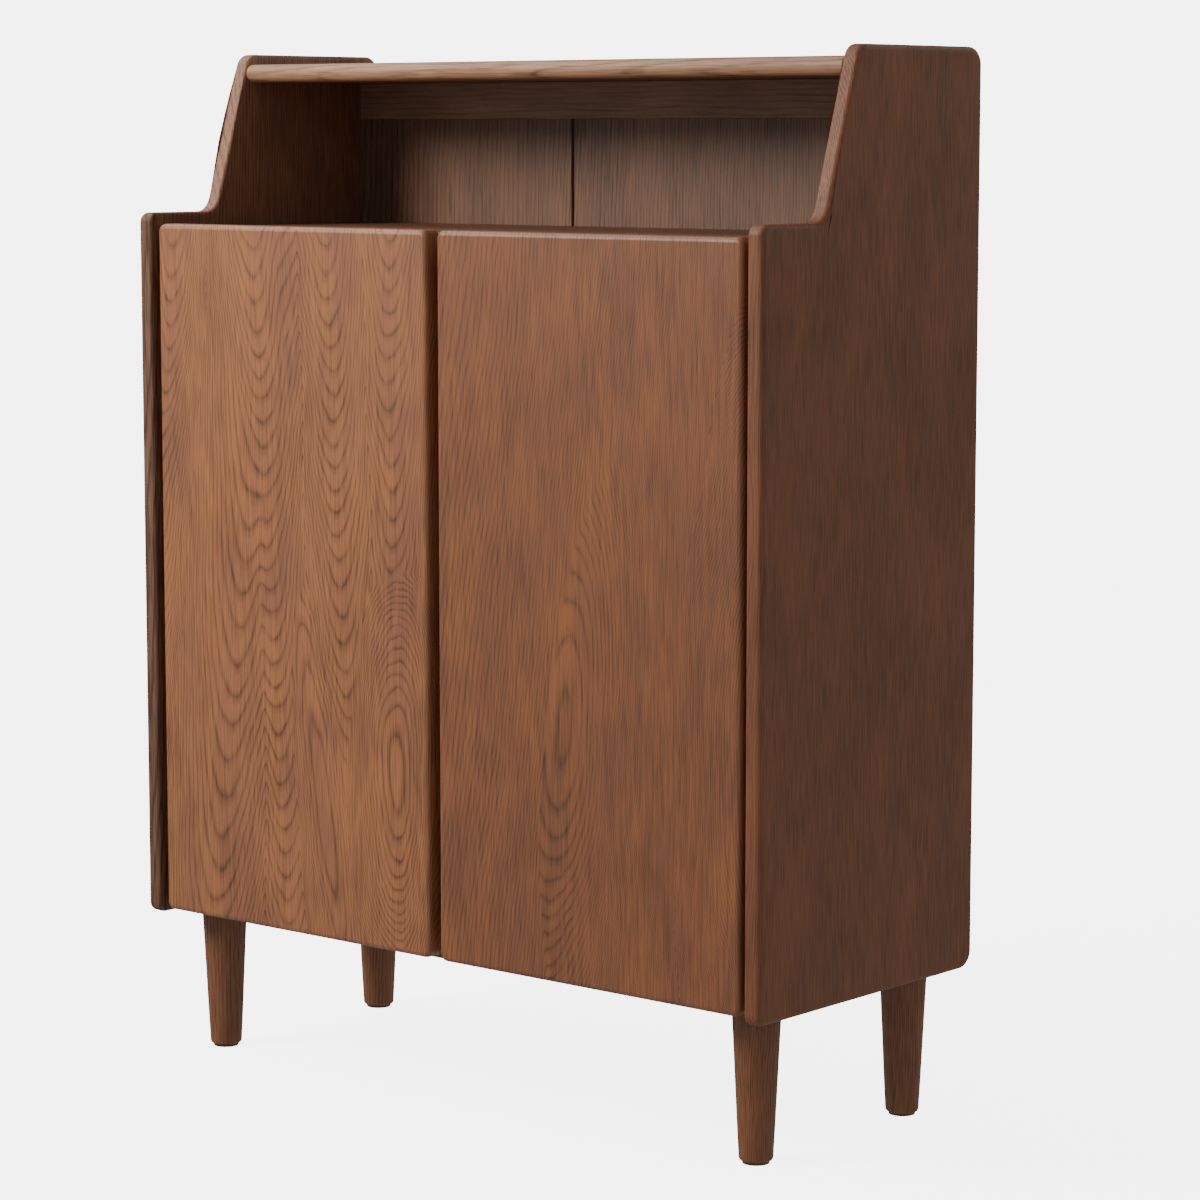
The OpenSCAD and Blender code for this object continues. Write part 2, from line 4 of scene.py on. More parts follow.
import bmesh
import bpy
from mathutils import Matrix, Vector


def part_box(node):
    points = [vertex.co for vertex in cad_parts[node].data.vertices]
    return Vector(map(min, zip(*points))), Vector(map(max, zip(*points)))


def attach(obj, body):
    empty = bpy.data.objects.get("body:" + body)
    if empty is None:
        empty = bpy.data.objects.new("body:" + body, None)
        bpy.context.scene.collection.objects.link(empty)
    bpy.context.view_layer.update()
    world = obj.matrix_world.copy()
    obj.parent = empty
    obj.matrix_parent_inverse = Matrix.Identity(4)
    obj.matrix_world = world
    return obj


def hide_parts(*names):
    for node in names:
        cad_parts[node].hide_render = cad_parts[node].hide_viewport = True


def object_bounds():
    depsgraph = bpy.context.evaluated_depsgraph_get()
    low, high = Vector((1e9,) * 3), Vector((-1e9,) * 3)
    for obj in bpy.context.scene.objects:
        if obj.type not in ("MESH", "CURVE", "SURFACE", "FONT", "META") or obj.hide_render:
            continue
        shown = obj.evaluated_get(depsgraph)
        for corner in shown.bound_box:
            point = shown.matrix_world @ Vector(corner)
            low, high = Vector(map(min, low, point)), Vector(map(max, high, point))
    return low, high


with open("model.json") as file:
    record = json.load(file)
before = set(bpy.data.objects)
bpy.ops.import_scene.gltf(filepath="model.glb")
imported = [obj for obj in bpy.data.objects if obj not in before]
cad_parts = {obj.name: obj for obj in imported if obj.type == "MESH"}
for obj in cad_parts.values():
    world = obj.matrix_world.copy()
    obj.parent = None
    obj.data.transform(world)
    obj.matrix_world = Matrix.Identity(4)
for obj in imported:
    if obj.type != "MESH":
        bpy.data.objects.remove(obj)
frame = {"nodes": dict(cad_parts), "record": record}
cadLow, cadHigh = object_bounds()
middle = (cadLow + cadHigh) / 2
mm = 0.001
bodyOf = {node: body for body, nodes in frame["record"]["behaviour"]["bodies"].items() for node in nodes}


# ---- small helpers

def addNode(tree, kind, inputs=None, **settings):
    made = tree.nodes.new(kind)
    for name, value in settings.items():
        setattr(made, name, value)
    for key, value in (inputs or {}).items():
        if isinstance(value, bpy.types.NodeSocket):
            tree.links.new(value, made.inputs[key])
        else:
            made.inputs[key].default_value = value
    return made


def linear(hexColour):
    parts = [int(hexColour[i:i + 2], 16) / 255 for i in (1, 3, 5)]
    return [p / 12.92 if p <= 0.04045 else ((p + 0.055) / 1.055) ** 2.4 for p in parts] + [1.0]


def newMaterial(name):
    material = bpy.data.materials.new(name)
    material.use_nodes = True
    return material, material.node_tree, material.node_tree.nodes["Principled BSDF"]


def addObject(name, mesh):
    made = bpy.data.objects.new(name, mesh)
    bpy.context.scene.collection.objects.link(made)
    return made


def pieceFrom(name, made, material):
    # what a bmesh holds becomes an object in one material
    mesh = bpy.data.meshes.new(name)
    made.to_mesh(mesh)
    made.free()
    mesh.materials.append(material)
    return addObject(name, mesh)


def quarterRound(radius, steps):
    # steps round a quarter circle: how far each has risen, and how far it still stands in from the side
    turns = [math.pi / 2 * i / steps for i in range(steps + 1)]
    return [(radius * (1 - math.cos(turn)), radius * (1 - math.sin(turn))) for turn in turns]


def joinRings(made, rings):
    # faces between neighbouring rings, and the two that close the ends, which are handed back
    for first, second in zip(rings, rings[1:]):
        for i in range(len(first)):
            j = (i + 1) % len(first)
            made.faces.new((first[i], first[j], second[j], second[i]))
    return [made.faces.new(rings[0]), made.faces.new(rings[-1])]


def shadeSmooth(mesh, degrees):
    mesh.shade_smooth()
    mesh.set_sharp_from_angle(angle=math.radians(degrees))


def applyModifiers(piece):
    # what the modifiers make becomes the piece's own plain mesh
    graph = bpy.context.evaluated_depsgraph_get()
    finished = bpy.data.meshes.new_from_object(piece.evaluated_get(graph))
    piece.modifiers.clear()
    piece.data = finished
    return piece


def settle(piece, *nodes):
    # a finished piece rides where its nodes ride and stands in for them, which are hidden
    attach(piece, bodyOf[nodes[0]])
    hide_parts(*nodes)
    return piece


# ---- reading the frame's meshes

# in metres: corners nearer than this count as one, and how far a bore may be out of round or off its size
same, outOfRound, offSize = 1e-6, 5e-5, 3e-4


def mergedCopy(node):
    copy = bmesh.new()
    copy.from_mesh(frame["nodes"][node].data)
    bmesh.ops.remove_doubles(copy, verts=copy.verts, dist=same)
    copy.verts.ensure_lookup_table()
    return copy


def boxOf(points):
    return (Vector([min(p[i] for p in points) for i in range(3)]),
            Vector([max(p[i] for p in points) for i in range(3)]))


def span(points):
    low, high = boxOf(points)
    return sum(high - low)


def faceLoops(node, axis, high):
    # the closed loops round a node's flat end face: its outline first, then its bores
    copy = mergedCopy(node)
    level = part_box(node)[high][axis]
    flat = {f for f in copy.faces if all(abs(v.co[axis] - level) < same for v in f.verts)}
    beside = {}
    for edge in copy.edges:
        if sum(f in flat for f in edge.link_faces) == 1:
            a, b = (v.index for v in edge.verts)
            beside.setdefault(a, []).append(b)
            beside.setdefault(b, []).append(a)
    loops = []
    left = set(beside)
    while left:
        here = min(left)
        loop = []
        while here is not None:
            loop.append(copy.verts[here].co.copy())
            left.discard(here)
            here = next((n for n in sorted(beside[here]) if n in left), None)
        loops.append(loop)
    copy.free()
    return sorted(loops, key=span, reverse=True)


def boreMouths(node, axis, high, diameter):
    # centres of the round bores of one diameter in a node's end face
    mouths = []
    for loop in faceLoops(node, axis, high)[1:]:
        centre = sum(loop, Vector()) / len(loop)
        reach = [(p - centre).length for p in loop]
        if max(reach) - min(reach) < outOfRound and abs(2 * max(reach) - diameter) < offSize:
            mouths.append(centre)
    return mouths


def looseParts(node):
    # the corner points of each separate solid in a node
    copy = mergedCopy(node)
    parts = []
    left = {v.index for v in copy.verts}
    while left:
        waiting = [min(left)]
        left.discard(waiting[0])
        part = []
        while waiting:
            vert = copy.verts[waiting.pop()]
            part.append(vert.co.copy())
            for edge in vert.link_edges:
                other = edge.other_vert(vert).index
                if other in left:
                    left.discard(other)
                    waiting.append(other)
        parts.append(part)
    copy.free()
    return parts


# ---- camera, floor and light

# lens in millimetres, turn and tilt in degrees, the rest in metres
view = {"lens": 112.716, "turn": 40.297, "lookDown": 7.11, "distance": 3.7135,
        "aimRight": 0.054, "aimUp": -0.0265}


def makeCamera():
    turn, down = math.radians(view["turn"]), math.radians(view["lookDown"])
    forward = Vector((-math.sin(turn) * math.cos(down), math.cos(turn) * math.cos(down),
                      -math.sin(down)))
    right = Vector((math.cos(turn), math.sin(turn), 0))
    aim = middle + right * view["aimRight"] + right.cross(forward) * view["aimUp"]
    camera = bpy.data.objects.new("camera", bpy.data.cameras.new("camera"))
    camera.data.lens = view["lens"]
    camera.location = aim - forward * view["distance"]
    camera.rotation_euler = (math.pi / 2 - down, 0, turn)
    bpy.context.scene.collection.objects.link(camera)
    bpy.context.scene.camera = camera


studio = {
    "floorRadius": 9.0, "floorFade": (1.6, 4.5), "floorGlow": 5.0, "backdrop": 5.8, "ambient": 0.42,
    # where each lamp stands, its size in metres, its power and its colour
    "key": ((-1.25, -1.85, 1.95), 0.9, 60.0, "#fff4e8"),
    "skim": ((-1.5, -0.25, 2.4), 1.2, 20.0, "#ffffff"),
    "rear": ((0.4, 2.8, 1.9), 1.6, 14.0, "#fff6ec"),
}


def makeLamp(name):
    place, size, power, colour = studio[name]
    lamp = bpy.data.lights.new(name + "Lamp", "AREA")
    lamp.shape = "DISK"
    lamp.size = size
    lamp.energy = power
    lamp.color = linear(colour)[:3]
    holder = bpy.data.objects.new(name + "Lamp", lamp)
    holder.location = place
    holder.rotation_euler = (middle - Vector(place)).to_track_quat("-Z", "Y").to_euler()
    holder.visible_camera = False
    bpy.context.scene.collection.objects.link(holder)


def makeStudio():
    # the floor fades into the backdrop, and it throws no light back up on the cabinet
    disc = bmesh.new()
    bmesh.ops.create_circle(disc, cap_ends=True, segments=96, radius=studio["floorRadius"])
    bmesh.ops.translate(disc, verts=disc.verts, vec=(0, 0, cadLow.z))
    material, tree, shader = newMaterial("pale matt floor")
    floor = pieceFrom("studioFloor", disc, material)
    floor.visible_diffuse = False
    floor.visible_glossy = False
    shader.inputs["Base Color"].default_value = linear("#f1f1ef")
    shader.inputs["Roughness"].default_value = 0.9
    shader.inputs["Specular IOR Level"].default_value = 0.1
    shader.inputs["Emission Color"].default_value = linear("#ffffff")
    shader.inputs["Emission Strength"].default_value = studio["floorGlow"]
    place = addNode(tree, "ShaderNodeTexCoord")
    away = addNode(tree, "ShaderNodeVectorMath", {0: place.outputs["Object"]}, operation="LENGTH")
    near, far = studio["floorFade"]
    fade = addNode(tree, "ShaderNodeMapRange", {"Value": away.outputs["Value"], "From Min": near,
                                                "From Max": far}, interpolation_type="SMOOTHSTEP")
    clear = addNode(tree, "ShaderNodeBsdfTransparent")
    blend = addNode(tree, "ShaderNodeMixShader", {0: fade.outputs["Result"], 1: shader.outputs["BSDF"],
                                                  2: clear.outputs["BSDF"]})
    tree.links.new(blend.outputs["Shader"], tree.nodes["Material Output"].inputs["Surface"])

    world = bpy.data.worlds.new("studio")
    bpy.context.scene.world = world
    world.use_nodes = True
    tree = world.node_tree
    light = tree.nodes["Background"]
    light.inputs["Color"].default_value = linear("#ffffff")
    light.inputs["Strength"].default_value = studio["ambient"]
    # the backdrop is bright to look at, and the light that falls on the cabinet stays soft
    wall = addNode(tree, "ShaderNodeBackground", {"Color": linear("#ffffff"),
                                                  "Strength": studio["backdrop"]})
    ray = addNode(tree, "ShaderNodeLightPath")
    both = addNode(tree, "ShaderNodeMixShader", {
        0: ray.outputs["Is Camera Ray"], 1: light.outputs["Background"], 2: wall.outputs["Background"]})
    tree.links.new(both.outputs["Shader"], tree.nodes["World Output"].inputs["Surface"])
    for name in ("key", "skim", "rear"):
        makeLamp(name)


makeCamera()
makeStudio()
print("studio: camera, floor and lamps")


# ---- oak, stained brown under a satin lacquer

# Ring-porous oak cut flat: dark pore lines nest in arches round each heart and run straight between them.
# The stain settles in the pores, and a thin satin lacquer leaves a soft broad shine.
oakSizes = {
    "ringGap": 6.0,          # millimetres between two pore lines
    "merge": 8.0,            # how softly the arches of two hearts run into each other, in millimetres
    "slip": 0.55,            # how far the rings lean through the thickness
    "bend": (60, 160, 22.0, 60.0),      # wide wander: its size across and along, how far it moves the grain
    "jag": (13, 26, 4.0, 24.0),         # small steps in the arches: the same four
    "fibre": (1.4, 38),      # pore dashes; real ones are about 0.3 mm across and would not show
    "patch": (9, 34), "cloud": (45, 120), "tone": (38, 90),     # the other noises, across and along
    "toneEdges": (0.3, 0.7),            # where the light tone gives way to the rosy one
    # how dark a pore line is along the way from one ring to the next
    "poreLine": ((0.0, 0.35), (0.12, 1.0), (0.3, 0.35), (0.5, 0.0), (0.9, 0.0), (1.0, 0.35)),
    "ior": 1.5, "poreRoughness": 0.14, "poreDepth": 0.12, "relief": 0.5,
}


def noiseAt(tree, point, across, along, detail, seed):
    # noise whose grains are across by along millimetres, the same through the thickness as across
    scale = (1 / (across * mm), 1 / (across * mm), 1 / (along * mm))
    place = addNode(tree, "ShaderNodeMapping", {
        "Vector": point, "Location": (seed, 0.37 * seed, 1.7 * seed), "Scale": scale})
    return addNode(tree, "ShaderNodeTexNoise", {
        "Vector": place.outputs["Vector"], "Scale": 1.0, "Detail": detail, "Roughness": 0.5})


def stainedOak(board, node, across, along, look, hearts):
    # each heart: millimetres across and along from the node's low corner, lean in degrees, width of its
    # arches, how closed they are (0 leaves them open), rise of one arch over the next, offset between hearts
    material, tree, shader = newMaterial("stained oak, " + board)
    axes = "XYZ"
    through = axes.replace(across, "").replace(along, "")
    seed = look["seed"]
    place = addNode(tree, "ShaderNodeTexCoord")
    split = addNode(tree, "ShaderNodeSeparateXYZ", {0: place.outputs["Object"]})
    moved = {}
    for axis, start in zip(axes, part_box(node)[0]):
        moved[axis] = addNode(tree, "ShaderNodeMath", {0: split.outputs[axis], 1: start},
                              operation="SUBTRACT")
    leant = addNode(tree, "ShaderNodeMath", {0: moved[through].outputs[0], 1: oakSizes["slip"],
                                             2: moved[across].outputs[0]}, operation="MULTIPLY_ADD")
    solid = addNode(tree, "ShaderNodeCombineXYZ", {0: leant.outputs[0], 1: moved[through].outputs[0],
                                                   2: moved[along].outputs[0]})
    flat = addNode(tree, "ShaderNodeCombineXYZ", {0: leant.outputs[0], 2: moved[along].outputs[0]})

    bent = flat.outputs["Vector"]
    for kind, ownSeed in (("bend", 4), ("jag", 3)):
        sizeAcross, sizeAlong, goAcross, goAlong = oakSizes[kind]
        wander = noiseAt(tree, solid.outputs["Vector"], sizeAcross, sizeAlong, 1.0, seed + ownSeed)
        centred = addNode(tree, "ShaderNodeVectorMath", {0: wander.outputs["Color"], 1: (0.5, 0.5, 0.5)},
                          operation="SUBTRACT")
        reach = (goAcross * mm * look[kind], 0, goAlong * mm * look[kind])
        bent = addNode(tree, "ShaderNodeVectorMath", {0: centred.outputs["Vector"], 1: reach, 2: bent},
                       operation="MULTIPLY_ADD").outputs["Vector"]

    rings = None
    for heartAcross, heartAlong, lean, width, closed, rise, offset in hearts:
        spot = addNode(tree, "ShaderNodeMapping", {
            "Vector": bent, "Location": (heartAcross * mm, 0, heartAlong * mm),
            "Rotation": (0, math.radians(lean), 0)}, vector_type="TEXTURE")
        curve = 0.5 / (width * mm)
        steep = addNode(tree, "ShaderNodeVectorMath", {
            0: spot.outputs["Vector"], 1: (curve, 0, curve * closed ** 2), 2: (0, 0, -rise)},
            operation="MULTIPLY_ADD")
        away = addNode(tree, "ShaderNodeVectorMath", {0: steep.outputs["Vector"], 1: spot.outputs["Vector"]},
                       operation="DOT_PRODUCT")
        shifted = addNode(tree, "ShaderNodeMath", {0: away.outputs["Value"], 1: offset * mm},
                          operation="ADD")
        if rings is None:
            rings = shifted
        else:
            rings = addNode(tree, "ShaderNodeMath", {
                0: rings.outputs[0], 1: shifted.outputs[0], 2: oakSizes["merge"] * mm},
                operation="SMOOTH_MIN")
    count = addNode(tree, "ShaderNodeMath", {0: rings.outputs[0], 1: oakSizes["ringGap"] * mm},
                    operation="DIVIDE")
    phase = addNode(tree, "ShaderNodeMath", {0: count.outputs[0]}, operation="FRACT")
    pores = addNode(tree, "ShaderNodeValToRGB", {"Fac": phase.outputs[0]})
    pores.color_ramp.interpolation = "EASE"
    while len(pores.color_ramp.elements) < len(oakSizes["poreLine"]):
        pores.color_ramp.elements.new(0.5)
    for element, (position, value) in zip(pores.color_ramp.elements, oakSizes["poreLine"]):
        element.position = position
        element.color = (value, value, value, 1)

    noise = {kind: noiseAt(tree, solid.outputs["Vector"], *oakSizes[kind], detail, seed + ownSeed)
             for kind, detail, ownSeed in (("patch", 1.0, 11), ("fibre", 2.0, 23), ("cloud", 2.0, 31),
                                           ("tone", 1.0, 47))}
    lines = addNode(tree, "ShaderNodeMath", {0: pores.outputs["Color"], 1: noise["patch"].outputs["Fac"]},
                    operation="MULTIPLY")
    dark = addNode(tree, "ShaderNodeMath", {0: lines.outputs[0], 1: look["lines"], 2: look["base"]},
                   operation="MULTIPLY_ADD")
    for kind in ("fibre", "cloud"):
        centred = addNode(tree, "ShaderNodeMath", {0: noise[kind].outputs["Fac"], 1: 0.5},
                          operation="SUBTRACT")
        dark = addNode(tree, "ShaderNodeMath", {0: centred.outputs[0], 1: look[kind], 2: dark.outputs[0]},
                       operation="MULTIPLY_ADD")
    if "frontStain" in look:
        # the colour goes darker over this many millimetres behind the front edge where the strength is
        # positive, a painted shade, and paler where it is negative, a painted highlight
        reach, strength = look["frontStain"]
        front = addNode(tree, "ShaderNodeMapRange", {
            "Value": moved["Y"].outputs[0], "From Min": 0.5 * reach * mm, "From Max": reach * mm,
            "To Min": strength, "To Max": 0.0})
        dark = addNode(tree, "ShaderNodeMath", {0: dark.outputs[0], 1: front.outputs["Result"]},
                       operation="ADD")
    lightest, rosiest = oakSizes["toneEdges"]
    wide = addNode(tree, "ShaderNodeMapRange", {"Value": noise["tone"].outputs["Fac"], "From Min": lightest,
                                                "From Max": rosiest})
    light = addNode(tree, "ShaderNodeMix", {"Factor": wide.outputs["Result"], 6: linear(look["light"]),
                                            7: linear(look["rosy"])}, data_type="RGBA")
    held = addNode(tree, "ShaderNodeClamp", {"Value": dark.outputs[0]})
    colour = addNode(tree, "ShaderNodeMix", {"Factor": held.outputs["Result"], 6: light.outputs[2],
                                             7: linear(look["dark"])}, data_type="RGBA")
    tree.links.new(colour.outputs[2], shader.inputs["Base Color"])
    satin = look["roughness"]
    gloss = addNode(tree, "ShaderNodeMapRange", {"Value": held.outputs["Result"], "To Min": satin,
                                                 "To Max": satin + oakSizes["poreRoughness"]})
    tree.links.new(gloss.outputs["Result"], shader.inputs["Roughness"])
    relief = addNode(tree, "ShaderNodeBump", {
        "Height": held.outputs["Result"], "Strength": oakSizes["relief"],
        "Distance": oakSizes["poreDepth"] * mm}, invert=True)
    tree.links.new(relief.outputs["Normal"], shader.inputs["Normal"])
    shader.inputs["IOR"].default_value = oakSizes["ior"]
    return material


# two wood tones and the pores' dark, how strongly lines, fibre and clouds show over the base stain,
# how much the grain wanders and steps, the roughness of the lacquer, and a seed for the noises
faceLook = {"light": "#ae7249", "rosy": "#9a6448", "dark": "#543521", "base": 0.2, "lines": 0.95,
            "fibre": 1.4, "cloud": 0.6, "bend": 0.7, "jag": 0.4, "roughness": 0.42, "seed": 3.0}
quietLook = {**faceLook, "light": "#88522f", "rosy": "#804d30", "dark": "#432716", "lines": 0.8,
             "fibre": 1.5, "roughness": 0.55, "seed": 14.0}
greyLook = {**faceLook, "light": "#84604a", "rosy": "#7a5a4a", "dark": "#3c2a1f", "lines": 0.9,
            "seed": 27.0}

low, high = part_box("side_panel_left")
depth = ((high - low) / mm).y
# lines that run nearly straight, closer together far from the corner, and one narrow run of arches
straightGrain = [(-160, 500, 1, 200, 0, 0.03, 0), (0.45 * depth, 600, 0, 12, 0.1, 0.2, 262)]

oak = {
    # cathedral arches in several runs, over a pale warm stain
    "door_left": stainedOak(
        "left door", "door_left", "X", "Z", faceLook,
        [(136, 703, -3.5, 26, 0, 0.25, 0), (236, 703, -3, 24, 0, 0.25, 3), (322, 703, 0, 20, 0, 0.25, 22),
         (24, 703, 5, 15, 0, 0.25, 18), (116, 340, 8, 44, 0, 0.17, 84), (327, 176, 0, 20, 0.3, 0, 22),
         (212, 230, -10, 14, 0.12, -0.1, 104)]),
    # quieter and browner, with one narrow heart low down
    "door_right": stainedOak(
        "right door", "door_right", "X", "Z",
        {**faceLook, "light": "#98603b", "rosy": "#88563a", "dark": "#492d1c", "lines": 0.85, "fibre": 1.45,
         "seed": 8.0},
        [(-160, 350, 4, 200, 0, 0.12, 0), (140, 40, 5, 34, 0.26, 0.42, 278),
         (500, 120, -6, 70, 0.45, 0.2, 262)]),
    "side": stainedOak("side panels", "side_panel_left", "Y", "Z", quietLook, straightGrain),
    # a paler, greyer copy of the side panels' oak, which brightens the shaded inside of the cubby: painted
    # light; its front edge is darkened over 16 millimetres: painted shade
    "side_left": stainedOak(
        "left side panel", "side_panel_left", "Y", "Z",
        {**quietLook, "frontStain": (16, 0.5), "light": "#9a6c50", "rosy": "#916551", "seed": 16.0},
        straightGrain),
    "counter": stainedOak(
        "counter", "counter_board", "Y", "X",
        {**quietLook, "light": "#7c5138", "rosy": "#744c39", "dark": "#38241a", "seed": 29.0}, straightGrain),
    "partition": stainedOak("partition", "centre_partition", "Y", "Z", {**quietLook, "seed": 19.0},
                            straightGrain),
    "board": stainedOak("boards", "bottom_board", "Y", "X", {**quietLook, "seed": 22.0}, straightGrain),
    # paler along the round nose, a painted highlight
    "top": stainedOak(
        "top board", "top_board", "Y", "X",
        {**quietLook, "light": "#b48a6a", "rosy": "#a98064", "dark": "#4e3220", "base": 0.5,
         "frontStain": (24, -0.4), "seed": 37.0}, straightGrain),
    # greyer inside the cubby, with faint straight lines
    "rail": stainedOak(
        "rail", "back_rail", "Z", "X",
        {**greyLook, "light": "#a17d64", "rosy": "#997660", "lines": 0.45, "fibre": 0.8, "seed": 41.0},
        [(-100, 300, 0, 120, 0, 0.01, 0)]),
    "back": stainedOak(
        "back boards", "back_panel_left", "X", "Z", greyLook,
        [(-400, 800, 1, 600, 0, 0.03, 0), (470, 1000, 0, 14, 0.1, 0.2, 612),
         (640, 1050, 0, 16, 0.1, 0.2, 886)]),
    "leg": stainedOak(
        "turned legs", "leg_front_left", "X", "Z",
        {**quietLook, "light": "#8f5a37", "rosy": "#875538", "seed": 33.0}, [(-600, 80, 1, 500, 0, 0.02, 0)]),
}
print("oak:", len(oak), "boards' finishes")


# ---- metals, plastics, felt and beech

# how far the gloss of a plated metal and the tint of a moulded surface wander, and how strong their grain is
plated = {"brighter": 0.08, "duller": 0.12, "relief": 0.3}
moulded = {"darkSpeck": 0.72, "relief": 0.6}


def metalFinish(name, colour, roughness, grain, depthOfGrain):
    # grain is the size in millimetres of the unevenness that the plating keeps
    material, tree, shader = newMaterial(name)
    shader.inputs["Base Color"].default_value = linear(colour)
    shader.inputs["Metallic"].default_value = 1.0
    place = addNode(tree, "ShaderNodeTexCoord")
    fine = addNode(tree, "ShaderNodeTexNoise", {
        "Vector": place.outputs["Object"], "Scale": 1 / (grain * mm), "Detail": 3.0})
    gloss = addNode(tree, "ShaderNodeMapRange", {
        "Value": fine.outputs["Fac"], "To Min": roughness - plated["brighter"],
        "To Max": roughness + plated["duller"]})
    relief = addNode(tree, "ShaderNodeBump", {
        "Height": fine.outputs["Fac"], "Strength": plated["relief"], "Distance": depthOfGrain * mm})
    tree.links.new(gloss.outputs["Result"], shader.inputs["Roughness"])
    tree.links.new(relief.outputs["Normal"], shader.inputs["Normal"])
    return material


def mouldedFinish(name, colour, roughness, grain, depthOfGrain, sheen=0.0):
    # grain is the size in millimetres of the specks of the surface
    material, tree, shader = newMaterial(name)
    shader.inputs["IOR"].default_value = 1.5
    shader.inputs["Roughness"].default_value = roughness
    shader.inputs["Sheen Weight"].default_value = sheen
    place = addNode(tree, "ShaderNodeTexCoord")
    speckle = addNode(tree, "ShaderNodeTexNoise", {
        "Vector": place.outputs["Object"], "Scale": 1 / (grain * mm), "Detail": 4.0, "Roughness": 0.6})
    light = linear(colour)
    dark = [moulded["darkSpeck"] * c for c in light[:3]] + [1]
    tint = addNode(tree, "ShaderNodeMix", {"Factor": speckle.outputs["Fac"], 6: dark, 7: light},
                   data_type="RGBA")
    relief = addNode(tree, "ShaderNodeBump", {
        "Height": speckle.outputs["Fac"], "Strength": moulded["relief"], "Distance": depthOfGrain * mm})
    tree.links.new(tint.outputs[2], shader.inputs["Base Color"])
    tree.links.new(relief.outputs["Normal"], shader.inputs["Normal"])
    return material


finish = {
    # bright nickel on pressed steel: a clean grey mirror, a little orange peel
    "nickel": metalFinish("nickel-plated steel", "#c9c6bf", 0.24, 1.8, 0.01),
    # zinc on screws and cams: bluer and duller, with the passivation's uneven bloom
    "zinc": metalFinish("zinc-plated steel", "#b4b6ba", 0.36, 0.9, 0.01),
    # moulded ABS, finely spark-eroded: black, a wide weak shine
    "black_plastic": mouldedFinish("moulded black ABS", "#26221f", 0.46, 0.5, 0.03),
    # polyurethane bumper: near black, soft and dull
    "bumper_rubber": mouldedFinish("polyurethane bumper", "#35322f", 0.62, 0.8, 0.02),
    # pressed wool felt, brown: no shine, a pale nap at the rim
    "felt": mouldedFinish("wool felt", "#5c4130", 0.95, 0.6, 0.25, sheen=0.6),
    # bare fluted beech, seen only when the cabinet is taken apart
    "beech": mouldedFinish("bare beech", "#c9a57a", 0.6, 2.2, 0.04),
}
print("finishes:", ", ".join(sorted(finish)))


# ---- soft slabs: side panels, doors and top board, each with rounded edges all round

# the radii of the rounded edges, and the bores' diameters and depths, in millimetres
slab = {"panelOuter": 5.5, "panelInner": 3.5, "doorFront": 5.0, "doorBack": 1.5, "topEnds": 0.8,
        "roundSteps": 5, "pegHole": 5.2, "pegDepth": 8.3, "pegFacets": 20,
        "cupBore": 35.2, "cupDepth": 12.0, "cupFacets": 64}


straight = 1e-3    # a corner that turns by less than this, in radians, is left out of an outline


def evenOutline(loop, axis):
    # the loop in its own plane, anticlockwise, without corners that lie on a straight run
    a, b = [i for i in range(3) if i != axis]
    points = [Vector((p[a], p[b])) for p in loop]
    area = sum(p.x * q.y - q.x * p.y for p, q in zip(points, points[1:] + points[:1]))
    if area < 0:
        points.reverse()
    kept = []
    for before, here, after in zip(points[-1:] + points[:-1], points, points[1:] + points[:1]):
        if abs((here - before).normalized().cross((after - here).normalized())) > straight:
            kept.append(here)
    return kept


def inwardNormals(points):
    # at each corner, the step that brings both its sides inwards by one
    normals = []
    for before, here, after in zip(points[-1:] + points[:-1], points, points[1:] + points[:1]):
        first = (here - before).normalized()
        second = (after - here).normalized()
        one, two = Vector((-first.y, first.x)), Vector((-second.y, second.x))
        normals.append((one + two) / (1 + one.dot(two)))
    return normals


def softSlab(name, node, axis, outerHigh, outerRadius, innerRadius, material):
    # a slab on the outline of a node's end face, with its edges rounded by these radii in millimetres;
    # the outer face is the one that shows
    points = evenOutline(faceLoops(node, axis, outerHigh)[0], axis)
    normals = inwardNormals(points)
    a, b = [i for i in range(3) if i != axis]
    low, high = (corner[axis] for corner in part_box(node))
    outer, inner = (high, low) if outerHigh else (low, high)
    way = 1 if inner > outer else -1
    steps = slab["roundSteps"]
    levels = [(outer + way * rise, inset) for rise, inset in quarterRound(outerRadius * mm, steps)]
    levels += [(inner - way * rise, inset) for rise, inset in reversed(quarterRound(innerRadius * mm, steps))]
    made = bmesh.new()
    rings = []
    for level, inset in levels:
        ring = []
        for point, normal in zip(points, normals):
            place = Vector((0, 0, 0))
            place[axis] = level
            place[a], place[b] = point + normal * inset
            ring.append(made.verts.new(place))
        rings.append(ring)
    caps = joinRings(made, rings)
    made.normal_update()    # the step in a panel's outline needs its face's direction before it is cut up
    bmesh.ops.triangulate(made, faces=caps, ngon_method="EAR_CLIP")
    bmesh.ops.recalc_face_normals(made, faces=made.faces)
    return pieceFrom(name, made, material)


# one tree bores round holes at marked points, and every set of holes uses it

def newTree(name, *inputs):
    # a tree with these named inputs; its group input's sockets are handed back with it
    tree = bpy.data.node_groups.new(name, "GeometryNodeTree")
    tree.interface.new_socket("Geometry", in_out="OUTPUT", socket_type="NodeSocketGeometry")
    for label, kind in (("Geometry", "NodeSocketGeometry"),) + inputs:
        tree.interface.new_socket(label, in_out="INPUT", socket_type=kind)
    return tree, addNode(tree, "NodeGroupInput").outputs


def endTree(tree, geometry, material):
    real = addNode(tree, "GeometryNodeRealizeInstances", {"Geometry": geometry})
    coated = addNode(tree, "GeometryNodeSetMaterial", {"Geometry": real.outputs["Geometry"],
                                                       "Material": material})
    addNode(tree, "NodeGroupOutput", {"Geometry": coated.outputs["Geometry"]})


